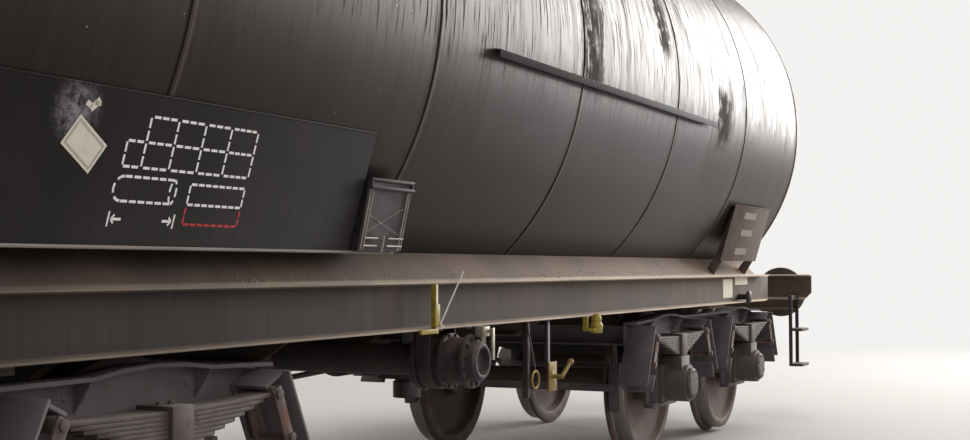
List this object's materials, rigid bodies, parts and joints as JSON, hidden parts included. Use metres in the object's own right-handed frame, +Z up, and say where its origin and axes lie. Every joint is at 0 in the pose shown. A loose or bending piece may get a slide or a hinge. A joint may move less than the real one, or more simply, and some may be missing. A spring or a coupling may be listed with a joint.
{
  "type": "railway tank car",
  "caption": "Bogie tank wagon: welded cylindrical tank on sole bars, sprung four-wheel bogies, buffers, screw couplings, cross outlet pipe, end ladder and hinged manhole lid.",
  "frame": {"origin": "under the wagon's centre, at the tips of the wheel flanges", "axes": "+X along the wagon, +Y across it, +Z up"},
  "size_m": [12.52, 2.8974, 4.05],
  "materials": {
    "tank_paint": "semi-gloss black paint, dusty and streaked",
    "frame_paint": "black-brown paint under brown dust",
    "board_paint": "black paint, scratched",
    "zinc_sheet": "dulled galvanised steel",
    "gear_steel": "greasy black steel",
    "bogie_steel": "rusty brown painted steel",
    "spring_steel": "rusty spring steel",
    "cast_steel": "rough casting",
    "wheel_steel": "rusty steel with bright treads",
    "worn_steel": "greasy worn steel",
    "valve_metal": "dull silver",
    "brass_fittings": "tarnished brass",
    "yellow_paint": "worn yellow paint"
  },
  "bodies": {
    "wagon": {"tank": "tank_paint", "saddle_plates": "frame_paint", "sole_bars": "frame_paint", "headstocks": "frame_paint", "end_sills": "frame_paint", "end_cross_members": "frame_paint", "body_bolsters": "frame_paint", "cross_stays": "frame_paint", "centre_pivots": "cast_steel", "buffer_housings": "frame_paint", "buffer_heads": "worn_steel", "draw_hooks": "worn_steel", "screw_couplings": "worn_steel", "brake_pipes": "gear_steel", "drip_rails": "tank_paint", "inscription_boards": "board_paint", "document_frames": "zinc_sheet", "end_boards": "board_paint", "outlet_pipes": "gear_steel", "outlet_drums": "gear_steel", "outlet_cradles": "gear_steel", "outlet_valves": "valve_metal", "air_reservoir": "gear_steel", "brake_cylinder": "gear_steel", "brake_distributor": "gear_steel", "brake_rods": "gear_steel", "release_gear": "brass_fittings", "hand_levers": "yellow_paint", "corner_steps": "gear_steel", "rope_hooks": "gear_steel", "end_platform": "zinc_sheet", "ladder": "zinc_sheet", "top_walkway": "zinc_sheet", "manhole_neck": "tank_paint", "top_valves": "valve_metal"},
    "manhole_lid": {"manhole_lid": "tank_paint"},
    "bogie_left": {"bogie_left_frame": "bogie_steel", "bogie_left_bolster": "bogie_steel", "bogie_left_springs": "spring_steel", "bogie_left_spring_links": "bogie_steel", "bogie_left_hanger_brackets": "bogie_steel", "bogie_left_axle_boxes": "cast_steel", "bogie_left_brake_beams": "bogie_steel"},
    "wheelset_left_outer": {"wheelset_left_outer_axle": "wheel_steel", "wheelset_left_outer_wheels": "wheel_steel"},
    "wheelset_left_inner": {"wheelset_left_inner_axle": "wheel_steel", "wheelset_left_inner_wheels": "wheel_steel"},
    "bogie_right": {"bogie_right_frame": "bogie_steel", "bogie_right_bolster": "bogie_steel", "bogie_right_springs": "spring_steel", "bogie_right_spring_links": "bogie_steel", "bogie_right_hanger_brackets": "bogie_steel", "bogie_right_axle_boxes": "cast_steel", "bogie_right_brake_beams": "bogie_steel"},
    "wheelset_right_outer": {"wheelset_right_outer_axle": "wheel_steel", "wheelset_right_outer_wheels": "wheel_steel"},
    "wheelset_right_inner": {"wheelset_right_inner_axle": "wheel_steel", "wheelset_right_inner_wheels": "wheel_steel"}
  },
  "joints": [
    {"name": "manhole_lid_hinge", "type": "hinge", "parent": "wagon", "child": "manhole_lid", "pos_m": [0.36, 0, 3.982], "axis": [0, 1, 0], "range_deg": [0, 110]},
    {"name": "bogie_left_swivel", "type": "hinge", "parent": "wagon", "child": "bogie_left", "pos_m": [-3.58, 0, 0.862], "axis": [0, 0, 1], "range_deg": [-4, 4]},
    {"name": "wheelset_left_outer_roll", "type": "hinge", "parent": "bogie_left", "child": "wheelset_left_outer", "pos_m": [-4.48, 0, 0.53], "axis": [0, 1, 0], "continuous": true},
    {"name": "wheelset_left_inner_roll", "type": "hinge", "parent": "bogie_left", "child": "wheelset_left_inner", "pos_m": [-2.68, 0, 0.53], "axis": [0, 1, 0], "continuous": true},
    {"name": "bogie_right_swivel", "type": "hinge", "parent": "wagon", "child": "bogie_right", "pos_m": [3.58, 0, 0.862], "axis": [0, 0, 1], "range_deg": [-4, 4]},
    {"name": "wheelset_right_outer_roll", "type": "hinge", "parent": "bogie_right", "child": "wheelset_right_outer", "pos_m": [4.48, 0, 0.53], "axis": [0, 1, 0], "continuous": true},
    {"name": "wheelset_right_inner_roll", "type": "hinge", "parent": "bogie_right", "child": "wheelset_right_inner", "pos_m": [2.68, 0, 0.53], "axis": [0, 1, 0], "continuous": true}
  ]
}
